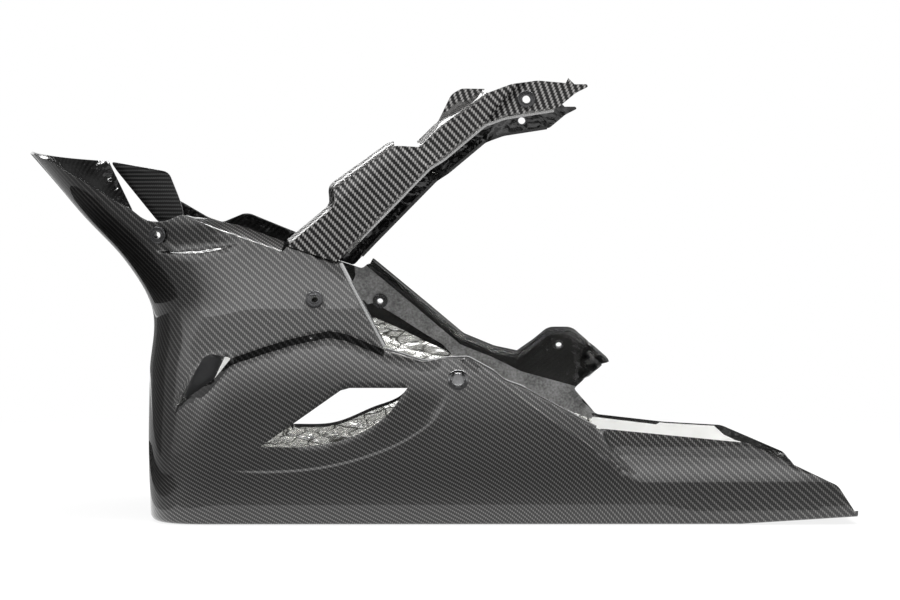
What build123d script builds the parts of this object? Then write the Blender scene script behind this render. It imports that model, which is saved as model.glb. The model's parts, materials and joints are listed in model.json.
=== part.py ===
from build123d import *
import os
from math import hypot, pi, sin

# Motorcycle belly pan, in millimetres.
# X runs backwards along the bike, Y to the bike's right side, Z up.
# The pan stands on its flat floor at Z = 0. Outlines of the side walls are points (X, Z).

# Laminate
wall = 2.4
bond_gap = 0.3
seat_gap = 0.2

# Tub form: plan sections from the floor up, as on a boat's lines drawing.
# Each row: height, front of the nose, start of the straight side, half width at that start,
# keel power of the nose (high is boxy, near 1 is a keel), shoulder power.
stations = [
    (0, -234, -176, 146, 4.8, 2.6),
    (60, -237, -165, 150, 4.2, 2.4),
    (120, -238, -150, 147, 3.6, 2.3),
    (178, -239, -140, 134, 3.2, 2.6),
    (215, -261, -150, 128, 3.6, 3.2),
    (250, -294, -165, 125, 3.6, 3.8),
    (280, -321, -182, 122, 3.2, 4.0),
    (312, -351.5, -200, 120, 3.0, 4.0),
]
nose_steps = 8
rear_x = 360
rear_taper = 4
reach = 2 * max(row[3] for row in stations)

# Rear flank: the wall behind the slanted crease leans in, and its top strip leans in more.
flank_crease = [(30, 130.5), (158, 42)]
flank_lean = 0.06
strip_crease = [(126, 57), (348, 50)]
strip_height = 26
strip_lean = 0.42

# Tail: the floor sweeps up behind this point.
sweep_start_x = 250
sweep_slope = 0.06

# Top edges of the two side walls, from the beak to the tail. They differ.
left_top = [
    (-400, 323.3), (-319, 296.3), (-279, 273.5), (-243, 252.5), (-236.5, 247.2), (-230, 244.4),
    (-222, 243.6), (-214, 244.5), (-202, 250), (-172, 237), (-120, 219), (-117, 223.7), (-76, 210.7),
    (-60, 181), (-38, 141), (-6, 131), (14, 133.5), (30, 134), (50, 123), (60, 115), (73, 110.5),
    (96, 98), (134, 77), (256, 65), (327.5, 31), (344, 6), (344, -10),
]
right_top = [
    (-400, 305.8), (-297, 304), (-275, 258), (-268, 247), (-252, 247), (-240, 272), (-231, 268),
    (-208, 254.5), (-195, 250), (-176, 258), (-170, 258), (-126, 240), (-117, 223.7), (-76, 210.7),
    (-68, 208), (-62, 213.3), (-17, 176), (21, 144), (50, 132), (74, 127), (91, 139), (103, 149),
    (120, 149), (151, 122), (125, 98), (145, 75), (206, 68), (259, 65), (317, 40), (344, 6), (344, -10),
]
front_corner = (left_top[0][0], left_top[-1][1])

# Return flanges, bent inwards from the free edges: depth across the bike and lean outwards.
# Each one starts inside the wall: this far behind its face and below its edge.
flange_depth = 12
flange_lean = 6
flange_bury = 0.6
flange_drop = 0.4
left_top_flange = [(-198, 248.2), (-172, 237), (-121, 219)]
left_back_flange = [(-73, 206), (-60, 181), (-39, 142)]
right_top_flange = [(-61, 212.5), (-17, 176), (21, 144), (50, 132), (74, 127)]
ear_flange = [(91, 139), (103, 149), (120, 149), (150, 122)]

# Ledge on the lower panel: its crest, the most it stands proud and how far it runs out below.
ledge_crest = [
    (-160, 133.5), (-134, 142.5), (-111, 149.5), (-82, 155.5), (-68, 153), (-35, 139.5), (-8, 130.5),
]
ledge_height = 4
ledge_end_height = 1.2
ledge_run_out = 30
ledge_bury = 0.8

# Vents through both walls, and the crescent recess round the large one.
recess_depth = 3
small_vent = [(-205, 95), (-183, 134), (-177, 137), (-160, 134), (-173.5, 117)]
vent_straight = [(-136, 63), (-72, 108), (-64.5, 110), (-18.5, 110)]
vent_curve = [(-18.5, 110), (-35, 88), (-60, 72), (-98, 63), (-136, 63)]
recess_straight = [(-167, 43), (-72, 108), (-64.5, 111), (16, 108)]
recess_back_arc = [(16, 108), (4, 85), (-15.5, 70)]
recess_low_arc = [(-15.5, 70), (-90, 43.5), (-167, 43)]

# Arms: outline of the face, and the flanges along its two long edges.
arm_face_y = 131
arm_outline = [
    (-116, 224), (-81, 253), (-78, 259), (-79, 271), (-33, 304), (-27.5, 305), (-9, 304), (7, 320),
    (46, 348), (65, 355), (86, 358), (109, 356), (111, 360), (116, 355), (126, 355), (127, 353),
    (117, 348), (102, 335.5), (60, 329), (43.5, 323), (10, 295), (-1, 288), (-56, 232), (-76, 211),
]
arm_front_flange = [(-114, 226), (-81, 253), (-78.5, 271), (-33, 304), (-11, 304)]
arm_top_flange = [(-9, 304), (7, 320), (46, 348)]
arm_back_flange = [(100, 335), (60, 329), (43.5, 323), (10, 295), (-1, 288), (-56, 232), (-67, 220)]
arm_foot = [(-78, 211.6), (-114, 223.3)]
arm_flange_depth = 15
arm_front_lean = 5
arm_top_depth = 20
arm_top_lean = 7
arm_back_lean = 3
arm_tab = [(4, 323.5), (16, 348), (24, 353), (43.3, 352.7)]
arm_eye = (77, 342.5)

# Front fin behind the notch in the left top edge
fin_outline = [
    (-262.5, 293), (-214, 284.5), (-204.5, 261), (-201.5, 250), (-205, 239), (-213, 239), (-222.5, 243),
    (-258, 286),
]
fin_corner = 6

# Flanged bushes: centre on the wall (X, Z), side (-1 left, 1 right)
bush_bore_r = 2.75
bush_wall_t = 1.6
bush_flange_r = 7
bush_flange_t = 1.4
bush_clearance = 0.15
bush_length = 6
hole_reach = 2 * bush_length
arm_bush_bore_r = 3.2
bushes = {
    "left_upper_bush": (-222, 233, -1),
    "left_middle_bush": (-94, 181, -1),
    "right_middle_bush": (-52, 179, 1),
    "right_ear_bush": (111, 139, 1),
}

# Flange bolt in the left wall, and the clip nut behind it
bolt_at = (22, 116)
bolt_r = 3
bolt_flange_r = 8.4
bolt_flange_t = 1.6
bolt_head_r = 6
bolt_head_h = 4
bolt_length = 13
bolt_clearance = 0.2
nut_width = 12
nut_height = 10.4
nut_plate_t = 1.2
nut_barrel_r = 5
nut_barrel_h = 5


def flank_plane(inset):
    """Plane of the left rear flank, pulled in by inset, with its normal outwards."""
    (x0, z0), (x1, z1) = flank_crease
    start = Vector(x0, -side_width(x0, z0), z0)
    along = Vector(x1, -side_width(x1, z1), z1) - start
    across = Vector(-along.Z, flank_lean * hypot(along.X, along.Z), along.X)
    outward = along.cross(across).normalized()
    return Plane(start - outward * inset, x_dir=along, z_dir=outward)


def plane_y(plane, x, z):
    """Where a plane stands across the bike at (x, z)."""
    normal = plane.z_dir
    drop = normal.X * (x - plane.origin.X) + normal.Z * (z - plane.origin.Z)
    return plane.origin.Y - drop / normal.Y


def side_width(x, z):
    """Half width of the straight side at (x, z), between the stations."""
    for low, high in zip(stations, stations[1:]):
        if z <= high[0]:
            break
    share = (z - low[0]) / (high[0] - low[0])
    start_x = low[2] + share * (high[2] - low[2])
    start_width = low[3] + share * (high[3] - low[3])
    return start_width - rear_taper * (x - start_x) / (rear_x - start_x)


def tub_body(inset, floor_z):
    """Closed form of the tub, pulled in by inset all round, with its floor at floor_z."""
    turns = [pi / 2 * step / nose_steps for step in range(nose_steps)]
    with BuildPart() as body:
        for height, front_x, side_x, half_width, keel, shoulder in stations:
            width = half_width - inset
            length = side_x - front_x - inset
            half = [
                (side_x - length * (1 - sin(turn) ** keel) ** (1 / shoulder), width * sin(turn))
                for turn in turns
            ]
            half.append((side_x, width))
            left = [(x, -y) for x, y in reversed(half[1:])]
            with BuildSketch(Plane.XY.offset(max(height, floor_z))):
                with BuildLine():
                    nose = Spline(*left, *half, tangents=((-1, 0), (1, 0)))
                    Polyline(
                        nose @ 1,
                        (rear_x + inset, width - rear_taper),
                        (rear_x + inset, rear_taper - width),
                        nose @ 0,
                    )
                make_face()
        loft()
        flank = flank_plane(inset)
        split(bisect_by=flank, keep=Keep.BOTTOM)
        for x, z in strip_crease:
            y = plane_y(flank, x, z)
            with BuildSketch(Plane.YZ.offset(x)):
                with BuildLine():
                    Polyline(
                        (y - strip_height, z),
                        (y, z),
                        (y + strip_lean * strip_height, z + strip_height),
                        (y - strip_height, z + strip_height),
                        close=True,
                    )
                make_face()
        loft(mode=Mode.SUBTRACT)
        split(bisect_by=Plane.XZ, keep=Keep.TOP)
        mirror(about=Plane.XZ)
        sweep = Plane((sweep_start_x, 0, floor_z), z_dir=(-sweep_slope, 0, 1))
        split(bisect_by=sweep, keep=Keep.TOP)
    return body.part


def wall_y(body, x, z):
    """Half width of a tub body at (x, z) on its right side."""
    inside = body.intersect(Edge.make_line((x, 0, z), (x, reach, z)))
    return max(edge.bounding_box().max.Y for edge in inside)


def seat(body, x, z, side, step=2.0):
    """Plane that touches a tub body at (x, z), with its normal outwards."""
    slope_x = (wall_y(body, x + step, z) - wall_y(body, x - step, z)) / (2 * step)
    slope_z = (wall_y(body, x, z + step) - wall_y(body, x, z - step)) / (2 * step)
    touch = (x, side * wall_y(body, x, z), z)
    plane = Plane(touch, x_dir=(1, side * slope_x, 0), z_dir=(-slope_x, side, -slope_z))
    return plane.offset(seat_gap)


def prism(points, side):
    """Block under a closed outline (X, Z): side -1 is the left half, 1 the right, 0 both."""
    with BuildPart() as block:
        with BuildSketch(Plane.XZ):
            with BuildLine():
                Polyline(*points, close=True)
            make_face()
        extrude(amount=-side * reach if side else reach, both=side == 0)
    return block.part


def edge_strip(path, widths, side, depth, lean_start, lean_end):
    """Return flange: a strip bent inwards from the free edge path (X, Z), whose outside is to its left."""
    with BuildPart() as strip:
        last = len(path) - 1
        for index, ((x, z), y) in enumerate(zip(path, widths)):
            before = Vector(*path[max(index - 1, 0)])
            after = Vector(*path[min(index + 1, last)])
            along = (after - before).normalized()
            lean = lean_start + (lean_end - lean_start) * index / last
            plane = Plane((x, side * y, z), x_dir=(-along.Y, 0, along.X), z_dir=(along.X, 0, along.Y))
            inward = -side * plane.y_dir.Y
            with BuildSketch(plane):
                with BuildLine():
                    Polyline(
                        (-wall - flange_drop, inward * flange_bury),
                        (-flange_drop, inward * flange_bury),
                        (lean, inward * depth),
                        (lean - wall, inward * depth),
                        close=True,
                    )
                make_face()
        loft(ruled=True)
    return strip.part


outer = tub_body(0, 0)
inner = tub_body(wall, wall)


def tub_flange(path, side, lean_start=flange_lean, lean_end=flange_lean):
    """Return flange along a free edge of the tub's wall."""
    widths = [wall_y(outer, x, z) for x, z in path]
    return edge_strip(path, widths, side, flange_depth, lean_start, lean_end)


with BuildPart() as ledge:
    last = len(ledge_crest) - 1
    for index, (x, z) in enumerate(ledge_crest):
        swell = sin(pi * index / last) ** 0.5 if 0 < index < last else 0
        proud = ledge_end_height + (ledge_height - ledge_end_height) * swell
        crest_y = wall_y(outer, x, z)
        foot_y = wall_y(outer, x, z - ledge_run_out)
        with BuildSketch(Plane((x, 0, z), x_dir=(0, 1, 0), z_dir=(1, 0, 0))):
            with BuildLine():
                Polyline(
                    (-crest_y + ledge_bury, 0),
                    (-crest_y - proud, 0),
                    (-foot_y + ledge_bury / 2, -ledge_run_out),
                    close=True,
                )
            make_face()
    loft(ruled=True)
    mirror(about=Plane.XZ)


def recess_block(margin, body):
    """Block across the bike under the recess outline, grown by margin, less a tub body."""
    with BuildPart() as block:
        with BuildSketch(Plane.XZ):
            with BuildLine():
                Polyline(*recess_straight)
                ThreePointArc(*recess_back_arc)
                ThreePointArc(*recess_low_arc)
            make_face()
            if margin:
                offset(amount=margin)
        extrude(amount=reach, both=True)
        add(body, mode=Mode.SUBTRACT)
    return block.part


with BuildPart() as hollow:
    add(inner)
    add(recess_block(wall, tub_body(recess_depth + wall, wall)), mode=Mode.SUBTRACT)

with BuildPart() as vents:
    with BuildSketch(Plane.XZ):
        with BuildLine():
            Polyline(*vent_straight)
            Spline(*vent_curve)
        make_face()
        with BuildLine():
            Polyline(*small_vent, close=True)
        make_face()
    extrude(amount=reach, both=True)

with BuildPart() as side_blocks:
    add(prism(left_top + [front_corner], -1))
    add(prism(right_top + [front_corner], 1))

seats = {name: seat(outer, x, z, side) for name, (x, z, side) in bushes.items()}
bolt_seat = seat(outer, *bolt_at, -1)
barrel_r = bush_bore_r + bush_wall_t

with BuildPart() as fixing_holes:
    for plane in seats.values():
        with BuildSketch(plane):
            Circle(barrel_r + bush_clearance)
        extrude(amount=hole_reach, both=True)
    with BuildSketch(bolt_seat):
        Circle(bolt_r + bolt_clearance)
    extrude(amount=hole_reach, both=True)

with BuildPart() as belly_shell:
    add(outer)
    add(hollow.part, mode=Mode.SUBTRACT)
    add(side_blocks.part, mode=Mode.INTERSECT)
    add(ledge.part)
    add(recess_block(0, tub_body(recess_depth, wall)), mode=Mode.SUBTRACT)
    add(vents.part, mode=Mode.SUBTRACT)
    add(tub_flange(left_top_flange, -1, 0, flange_lean))
    add(tub_flange(left_back_flange, -1))
    add(tub_flange(right_top_flange, 1))
    add(tub_flange(ear_flange, 1))
    add(fixing_holes.part, mode=Mode.SUBTRACT)


def arm_strip(path, depth, lean):
    """Return flange along an edge of the left arm's face."""
    return edge_strip(path, [arm_face_y] * len(path), -1, depth, lean, lean)


arm_plane = Plane((0, -arm_face_y, 0), x_dir=(1, 0, 0), z_dir=(0, -1, 0))
arm_barrel_r = arm_bush_bore_r + bush_wall_t

with BuildPart() as left_arm:
    with BuildSketch(arm_plane):
        with BuildLine():
            Polyline(*arm_outline, close=True)
        make_face()
        with Locations(arm_eye):
            Circle(arm_barrel_r + bush_clearance, mode=Mode.SUBTRACT)
    extrude(amount=-wall)
    add(arm_strip(arm_front_flange, arm_flange_depth, arm_front_lean))
    add(arm_strip(arm_top_flange, arm_top_depth, arm_top_lean))
    add(arm_strip(arm_back_flange, arm_flange_depth, arm_back_lean))
    add(arm_strip(arm_foot, arm_flange_depth, 0))
    with BuildSketch(arm_plane.offset(-arm_top_depth)):
        with BuildLine():
            Polyline(*arm_tab, close=True)
        make_face()
    extrude(amount=wall)

with BuildPart() as right_arm:
    mirror(left_arm.part, about=Plane.XZ)

with BuildPart() as left_front_fin:
    with BuildSketch(Plane.XZ):
        with BuildLine():
            Polyline(*fin_outline, close=True)
        make_face()
        fillet(vertices().sort_by(Axis.X)[3], radius=fin_corner)
    extrude(amount=reach)
    add(tub_body(wall + bond_gap, wall), mode=Mode.INTERSECT)
    add(tub_body(2 * wall + bond_gap, wall), mode=Mode.SUBTRACT)


def flanged_bush(plane, bore_r):
    """Bush with its flange on the outside of the wall, on a plane whose normal points outwards."""
    with BuildPart() as bush:
        with BuildSketch(plane):
            Circle(bush_flange_r)
        extrude(amount=bush_flange_t)
        with BuildSketch(plane):
            Circle(bore_r + bush_wall_t)
        extrude(amount=-bush_length)
        with BuildSketch(plane.offset(bush_flange_t)):
            Circle(bore_r)
        extrude(amount=-bush_flange_t - bush_length, mode=Mode.SUBTRACT)
    return bush.part


left_eye = Plane((arm_eye[0], -arm_face_y, arm_eye[1]), x_dir=(1, 0, 0), z_dir=(0, -1, 0))
right_eye = Plane((arm_eye[0], arm_face_y, arm_eye[1]), x_dir=(1, 0, 0), z_dir=(0, 1, 0))
parts = {
    "belly_shell": belly_shell.part,
    "left_arm": left_arm.part,
    "right_arm": right_arm.part,
    "left_front_fin": left_front_fin.part,
    "left_arm_bush": flanged_bush(left_eye, arm_bush_bore_r),
    "right_arm_bush": flanged_bush(right_eye, arm_bush_bore_r),
}
for name, plane in seats.items():
    parts[name] = flanged_bush(plane, bush_bore_r)

with BuildPart() as left_side_bolt:
    with BuildSketch(bolt_seat):
        Circle(bolt_flange_r)
    extrude(amount=bolt_flange_t)
    with BuildSketch(bolt_seat.offset(bolt_flange_t)):
        RegularPolygon(bolt_head_r, 6)
    extrude(amount=bolt_head_h)
    with BuildSketch(bolt_seat):
        Circle(bolt_r)
    extrude(amount=-bolt_length)

nut_plane = bolt_seat.offset(-seat_gap - wall - bond_gap)

with BuildPart() as left_side_nut:
    with BuildSketch(nut_plane):
        Rectangle(nut_width, nut_height)
    extrude(amount=-nut_plate_t)
    with BuildSketch(nut_plane):
        Circle(nut_barrel_r)
    extrude(amount=-nut_barrel_h)
    with BuildSketch(bolt_seat):
        Circle(bolt_r + bolt_clearance)
    extrude(amount=-bolt_length, mode=Mode.SUBTRACT)

parts["left_side_bolt"] = left_side_bolt.part
parts["left_side_nut"] = left_side_nut.part

os.makedirs("parts", exist_ok=True)
for name, solid in parts.items():
    solid.label = name
    export_step(solid, f"parts/{name}.step")
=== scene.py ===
import json
import math

import bmesh
import bpy
import numpy as np
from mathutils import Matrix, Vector
from mathutils.geometry import delaunay_2d_cdt
from mathutils.kdtree import KDTree


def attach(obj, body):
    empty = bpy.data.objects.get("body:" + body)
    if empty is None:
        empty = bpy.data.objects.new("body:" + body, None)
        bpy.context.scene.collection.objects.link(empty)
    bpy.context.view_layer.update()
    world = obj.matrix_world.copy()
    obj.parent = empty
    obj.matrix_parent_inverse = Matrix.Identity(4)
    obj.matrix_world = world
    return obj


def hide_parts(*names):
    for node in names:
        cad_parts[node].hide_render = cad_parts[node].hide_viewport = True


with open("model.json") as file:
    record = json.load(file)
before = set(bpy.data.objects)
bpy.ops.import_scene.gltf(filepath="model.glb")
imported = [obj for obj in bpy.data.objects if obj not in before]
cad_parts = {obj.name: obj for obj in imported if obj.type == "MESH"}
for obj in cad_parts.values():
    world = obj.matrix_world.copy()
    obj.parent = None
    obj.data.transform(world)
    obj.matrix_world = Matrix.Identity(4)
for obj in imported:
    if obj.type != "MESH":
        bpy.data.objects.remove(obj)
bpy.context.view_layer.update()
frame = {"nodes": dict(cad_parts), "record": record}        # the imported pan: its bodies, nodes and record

bl_info = {
    "name": "Carbon belly pan",
    "version": (1, 0, 0),
    "blender": (4, 5, 0),
    "location": "View3D > Sidebar > Belly Pan",
    "description": "Lays up the cloth, arms, fin and fixings of a motorcycle belly pan on its packed frame",
    "category": "Object",
}

MM = 0.001
LEFT, RIGHT = -1, 1

# Plan sections of the tub in millimetres: height, nose front, start of the straight side,
# half width, keel power and shoulder power
STATIONS = np.array([
    (0, -234, -176, 146, 4.8, 2.6),
    (60, -237, -165, 150, 4.2, 2.4),
    (120, -238, -150, 147, 3.6, 2.3),
    (178, -239, -140, 134, 3.2, 2.6),
    (215, -261, -150, 128, 3.6, 3.2),
    (250, -294, -165, 125, 3.6, 3.8),
    (280, -321, -182, 122, 2.9, 4.0),
    (312, -351.5, -200, 120, 1.9, 4.0),
], float)
NOSE_SPAN = 160.0
NOSE_SAMPLES = 45
REAR_X = 360.0
REAR_TAPER = 4.0
TAIL_X = 344.0
SWEEP_X = 250.0
SWEEP_SLOPE = 0.06
FLOOR_ROUND = 5.0
FLOOR_ROWS = (0.0, 0.04, 0.2, 0.5, 1.0)
FLOOR_ROW_X = -180.0

# Top edges of the walls from the beak to the tail, as points (X, Z), and the round of their corners
TOP_ROUND = 3.0
BEAK_SAMPLES = 48
LEFT_TOP = [
    (-400, 323.3), (-319, 296.3), (-279, 273.5), (-243, 252.5), (-236.5, 247.2), (-230, 244.4),
    (-222, 243.6), (-214, 244.5), (-202, 250), (-172, 237), (-120, 219), (-117, 223.7), (-76, 210.7),
    (-60, 181), (-38, 141), (-6, 131), (14, 133.5), (30, 134), (50, 123), (60, 115), (73, 110.5),
    (96, 98), (134, 77), (256, 65), (327.5, 31), (344, 6),
]
RIGHT_TOP = [
    (-400, 305.8), (-297, 304), (-275, 258), (-268, 229), (-242, 229), (-236, 270.5), (-231, 268),
    (-208, 254.5), (-195, 250), (-176, 258), (-170, 258), (-126, 240), (-117, 223.7), (-76, 210.7),
    (-68, 208), (-62, 213.3), (-17, 176), (21, 144), (50, 132), (74, 127), (91, 139), (103, 149),
    (120, 149), (151, 122), (125, 98), (145, 75), (206, 68), (259, 65), (317, 40), (344, 6),
]

# Creases, ledge, vents and recess of the walls
FLANK_CREASE = [(30, 130.5), (158, 42)]
FLANK_LEAN = 0.06
FLANK_STEP = 1.1
FLANK_BAND = 1.0
FLANK_FADE_Z = 38.0
FLANK_FADE_RUN = 10.0
REAR_GATE = [(166, 30), (158, 42), (146, 56), (135, 77)]
GATE_RUN = 3.0
GATE_X = 120.0
STRIP_CREASE = [(134, 56.5), (272, 52), (330, 31), (350, 22)]
STRIP_LEAN = 0.42
WAIST_Z = 34.0
WAIST_LEAN = 0.14
WAIST_REACH = 60.0
WAIST_SPAN = (168, 318)
CREASE_ROUND = 0.7
LEDGE_CREST = [
    (-206, 94), (-173.5, 117), (-160, 133.5), (-134, 142.5), (-111, 149.5), (-82, 155.5), (-68, 153),
    (-35, 139.5), (-6, 131),
]
LEDGE_HEIGHT = [0.6, 2.2, 2.6, 3.2, 3.8, 4.0, 4.0, 3.2, 1.6]
LEDGE_BAND = 5.5
LEDGE_RUN_OUT = 75.0
LEDGE_END_RUN = 20.0
# Painted shade: up to this X the ledge band is laid in near-black cloth, for the dark that it reflects
LEDGE_SHADE_END = -37.0
DIMPLE_CURVE = [(-228, 218), (-206, 217), (-188, 217.3), (-169, 220.4), (-150, 225.5)]
DIMPLE_DEPTH = 2.6
DIMPLE_LIP = 3.4
DIMPLE_FADE_IN = 14.0
DIMPLE_FADE_OUT = 30.0
DIMPLE_RUN_OUT = 24.0
SMALL_VENT = [(-205, 95), (-183, 134), (-177, 137), (-160, 134), (-173.5, 117)]
SMALL_VENT_ROUND = 2.5
VENT_STRAIGHT = [(-72, 108), (-64.5, 110), (-18.5, 110)]
VENT_CURVE = {
    LEFT: [(-18.5, 110), (-35, 88), (-60, 72), (-98, 63), (-136, 63)],
    RIGHT: [(-18.5, 110), (-33, 92), (-60, 80.5), (-94, 67), (-136, 65)],
}
VENT_LIP = 3.0
VENT_SAMPLES = 40
RECESS_STRAIGHT = [(-167, 43), (-72, 108), (-64.5, 111), (16, 108)]
RECESS_CURVE = [(16, 108), (4, 85), (-15.5, 70), (-52, 54), (-90, 45), (-128, 42), (-167, 43)]
RECESS_DEPTH = 0.6
RECESS_BAND = 1.5
RECESS_ROUND = 0.8
RECESS_FADE = 16.0
SCOOP_INNER = [(-205, 95), (-174.5, 116.5), (-166, 135)]
SCOOP_DEPTH = 9.0
SCOOP_ROWS = (0.1, 0.25, 0.45, 0.7, 1.0)

# Turned edges of the walls: start, end and lean along X, or rows of lean and depth. A left flange starts
# with a small fold, and then has rows at these shares of its depth
FLANGE_START = (0.25, 0.3)
FLANGE_FOLD = 0.35
FLANGE_SHARES = (0.05, 0.1, 0.16, 1.0)
LEFT_FLANGES = (
    ((-198, 248.2), (-121, 219.4), [(-198, 0.5), (-180, 6.0), (-160, 9.0), (-121, 8.6)]),
    ((-76, 210.7), (-39, 142), [(-76, 3.2), (-39, 3.2)]),
)
LEFT_LIP = ((-36, 140), (132, 78))
LEFT_LIP_ROWS = [(0.3, 0.5), (1.6, 7.0)]
RIGHT_FLANGE = ((-61, 212.5), (150, 122))
RIGHT_FLANGE_LEAN = 6.0

# Cloth: a twill floats over two tows. On the tub its rows lie closer below CROWD_TOP, less so towards the
# rear, and each ply is turned by some degrees
TWILL = 2.0
# Painted shade: near-black tows for the ledge band, which looks black only from the dark it reflects, and for
# the fin's dark tows
SHADE_BLACK_TOW = (0.003, 0.003, 0.003)
LEDGE_SHADE_LIGHT_TOW = (0.03, 0.03, 0.03)
CROWD_TOP = 150.0
CROWD_DEPTH = 110.0
CROWD_SHARE = 0.7
CROWD_FADE_U = 20.0
CROWD_FADE_RUN = 200.0
TUB_TURNS = [3.0, 0.0]
WALL_PLY, FLOOR_PLY = 0, 1
TURNED_PULL = 0.8

# Linings on the inside: foil lies below its line, felt behind FELT_X up to its own line, and a near-white
# lining at the tail and opposite the right small vent, which is painted glare: flat white for the bright foil
# at the tail and for the bright view through the small vent's slit. Each lining is the first of three slots:
# out, in and rim
FOIL_TOP = [
    (-240, 150), (-160, 160), (-57, 163.5), (-35.5, 154.3), (-10.4, 141.7), (5.3, 134.6), (30, 118),
    (103.8, 86.9), (124.6, 76), (144.8, 70.5),
]
FELT_TOP = [(-75, 218), (-62, 209), (-17, 171.5), (21, 139.5), (50, 127.5), (77, 114), (135, 98)]
FELT_X = -75.0
BARE_BELOW = [(-75, 178), (-57, 177), (-35, 164), (-10, 148), (5, 139), (12, 131)]
GLARE_TOP = [(142, 73.5), (200, 66.5), (205, 69.5), (252, 66), (262, 57), (317, 31), (340, 2)]
GLARE_NOSE_X = -185.0
GLARE_NOSE_Z = (95.0, 145.0)
# The ledge band's slots are painted shade: near-black cloth outside, foil inside
BARE, FOIL, FELT, PAINTED_SHADE, RESIN, PAINTED_GLARE = range(0, 18, 3)

# Arms: outline, folds of the face, turned edges as start, end, lean and depth, and the cloth's light and
# dark tows as shares of the tub's
ARM_FACE_Y = 131.0
ARM_STEP = 3.0
ARM_OUTLINE = [
    (-116, 224), (-81, 253), (-78, 259), (-79, 271), (-33, 304), (-27.5, 305), (-9, 304), (7, 320),
    (46, 348), (65, 355), (86, 358), (109, 356), (111, 360), (116, 355), (126, 355), (127, 353),
    (117, 348), (102, 335.5), (60, 329), (43.5, 323), (10, 295), (-1, 288), (-56, 232), (-76, 211),
]
ARM_SHARP = (11, 12, 13)
ARM_ROUND = 2.5
ARM_EYE = (77, 342.5)
ARM_EYE_R = 4.95
ARM_EYE_POINTS = 32
ARM_TAB = [(4, 323.5), (16, 348), (24, 353), (43.3, 352.7)]
ARM_TAB_ROUND = 3.0
ARM_SHOULDER = [(-79, 257), (-71, 263.5), (-34, 292.6), (-27.5, 304)]
ARM_SHOULDER_X = -25.0
ARM_SHOULDER_RUN = 9.0
ARM_SHOULDER_SET = 1.4
ARM_TWIST = ([(0, 287.5), (-29, 304.5)], [(10, 295), (-9, 304)])
ARM_TWIST_SET = 3.0
ARM_PLATE = [(43, 324), (53.3, 335.4), (61.4, 346.3), (66, 355)]
ARM_PLATE_X = 40.0
ARM_PLATE_RUN = 3.0
ARM_PLATE_SET = 1.6
ARM_TOP_DEPTH = 20.0
ARM_FLANGES = (
    ((-114, 226), (-30, 304.6), 5.0, 15.0),
    ((-9, 304), (46, 348), 6.0, ARM_TOP_DEPTH),
    ((100, 335), (-67, 220), 1.6, 15.0),
)
ARM_TURNS = [-2.0, -25.0]
ARM_LIGHT, ARM_DARK, ARM_COAT = 2.0, 0.12, 0.5
ARM_PLY, PLATE_PLY = 0, 1

# Front fin: its tow is a share of the arms'. Its dim light tow and near-black dark tow are painted shade, for
# the dark the fin reflects
FIN_OUTLINE = [
    (-262.5, 293), (-214, 284.5), (-204.5, 261), (-201.5, 250), (-205, 239), (-213, 239), (-222.5, 243),
    (-258, 286),
]
FIN_ROUND = 5.0
FIN_EDGE_STEP = 3.0
FIN_STEP = 4.0
FIN_TURNS = [45.0]
FIN_TOW, FIN_COAT = 0.65, 0.2
FIN_SHADED_LIGHT_TOW = (0.05, 0.05, 0.05)
BOND_GAP = 0.3

# Bushes, their holes in each wall as (X, Z), and the line that keeps the edge folds crisp
BUSH_HOLES = {LEFT: [(-222, 233), (-94, 181)], RIGHT: [(-52, 179), (111, 139)]}
BUSH_HOLE_R = 4.5
BUSH_HOLE_POINTS = 24
BUSH_FLANGE_R = 7.0
BUSH_FLANGE_T = 1.4
BUSH_WALL = 1.6
BUSH_COLLAR = 2.4
FOLD_LINE = 1.2

# Flange bolt: place (X, Z), and rings of radius, height and hexagon share from shank to head
BOLT_AT = (22.0, 116.0)
BOLT_GAP = 0.2
BOLT_SIDES = 6
BOLT_RINGS = [
    (2.4, -13.0, 0), (3.0, -12.4, 0), (3.0, 0.0, 0), (8.0, 0.0, 0), (8.4, 0.3, 0), (8.4, 0.9, 0),
    (8.0, 1.3, 0), (7.0, 1.6, 0), (6.3, 2.0, 0.5), (6.1, 2.6, 1.0), (6.1, 4.6, 1.0), (5.7, 5.3, 0.7),
    (4.9, 5.6, 0.0), (4.5, 5.55, 0), (4.2, 5.2, 0), (0.5, 5.1, 0),
]

# Mesh making: distances in millimetres that weld points and drop slivers, and angles in degrees above
# which a rim is rounded and a crease or a turned edge looks sharp
WELD = 0.05
SLIVER = 0.01
RIM_ANGLE = 50.0
CREASE_ANGLE = 40.0
TURNED_ANGLE = 35.0

# Camera and floor of the studio, in metres, and the camera's sensor in millimetres
CAMERA_AT = (0.0436, -2.150, 0.190)
CAMERA_SHIFT = (-0.0389, -0.0133)
SENSOR = 36.0
FLOOR_REACH = 6.0
FLOOR_DROP = 0.0004

# Studio cards in metres. Lying ones: X from and to, Y from and to, height and brightness.
# Standing ones: start, end, height, and brightness at the lower and the upper edge
LYING_CARDS = (
    ("near_floor_card", -0.88, -0.42, -0.25, 0.9, 0.004, 0.0),
    ("left_floor_card", -2.6, -0.3, -0.3, 3.0, 0.003, 0.35),
    ("front_floor_card", -3.5, 3.5, -3.0, -0.2, 0.002, 0.3),
    ("top_card", -2.5, 2.5, -2.0, 5.0, 2.0, 0.05),
)
STANDING_CARDS = (
    ("front_card", (-3.5, -3.0), (3.5, -3.0), 1.4, 0.28, 2.6),
    ("front_left_card", (-2.6, -0.3), (-3.5, -3.0), 1.4, 0.42, 1.6),
    ("left_front_card", (-2.6, -0.3), (-2.6, 0.8), 1.6, 0.25, 0.25),
    ("left_card", (-2.6, 0.8), (-2.6, 4.0), 1.6, 0.05, 0.05),
    ("back_card", (-2.6, 4.0), (1.2, 4.0), 0.8, 0.15, 0.15),
)

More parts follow.
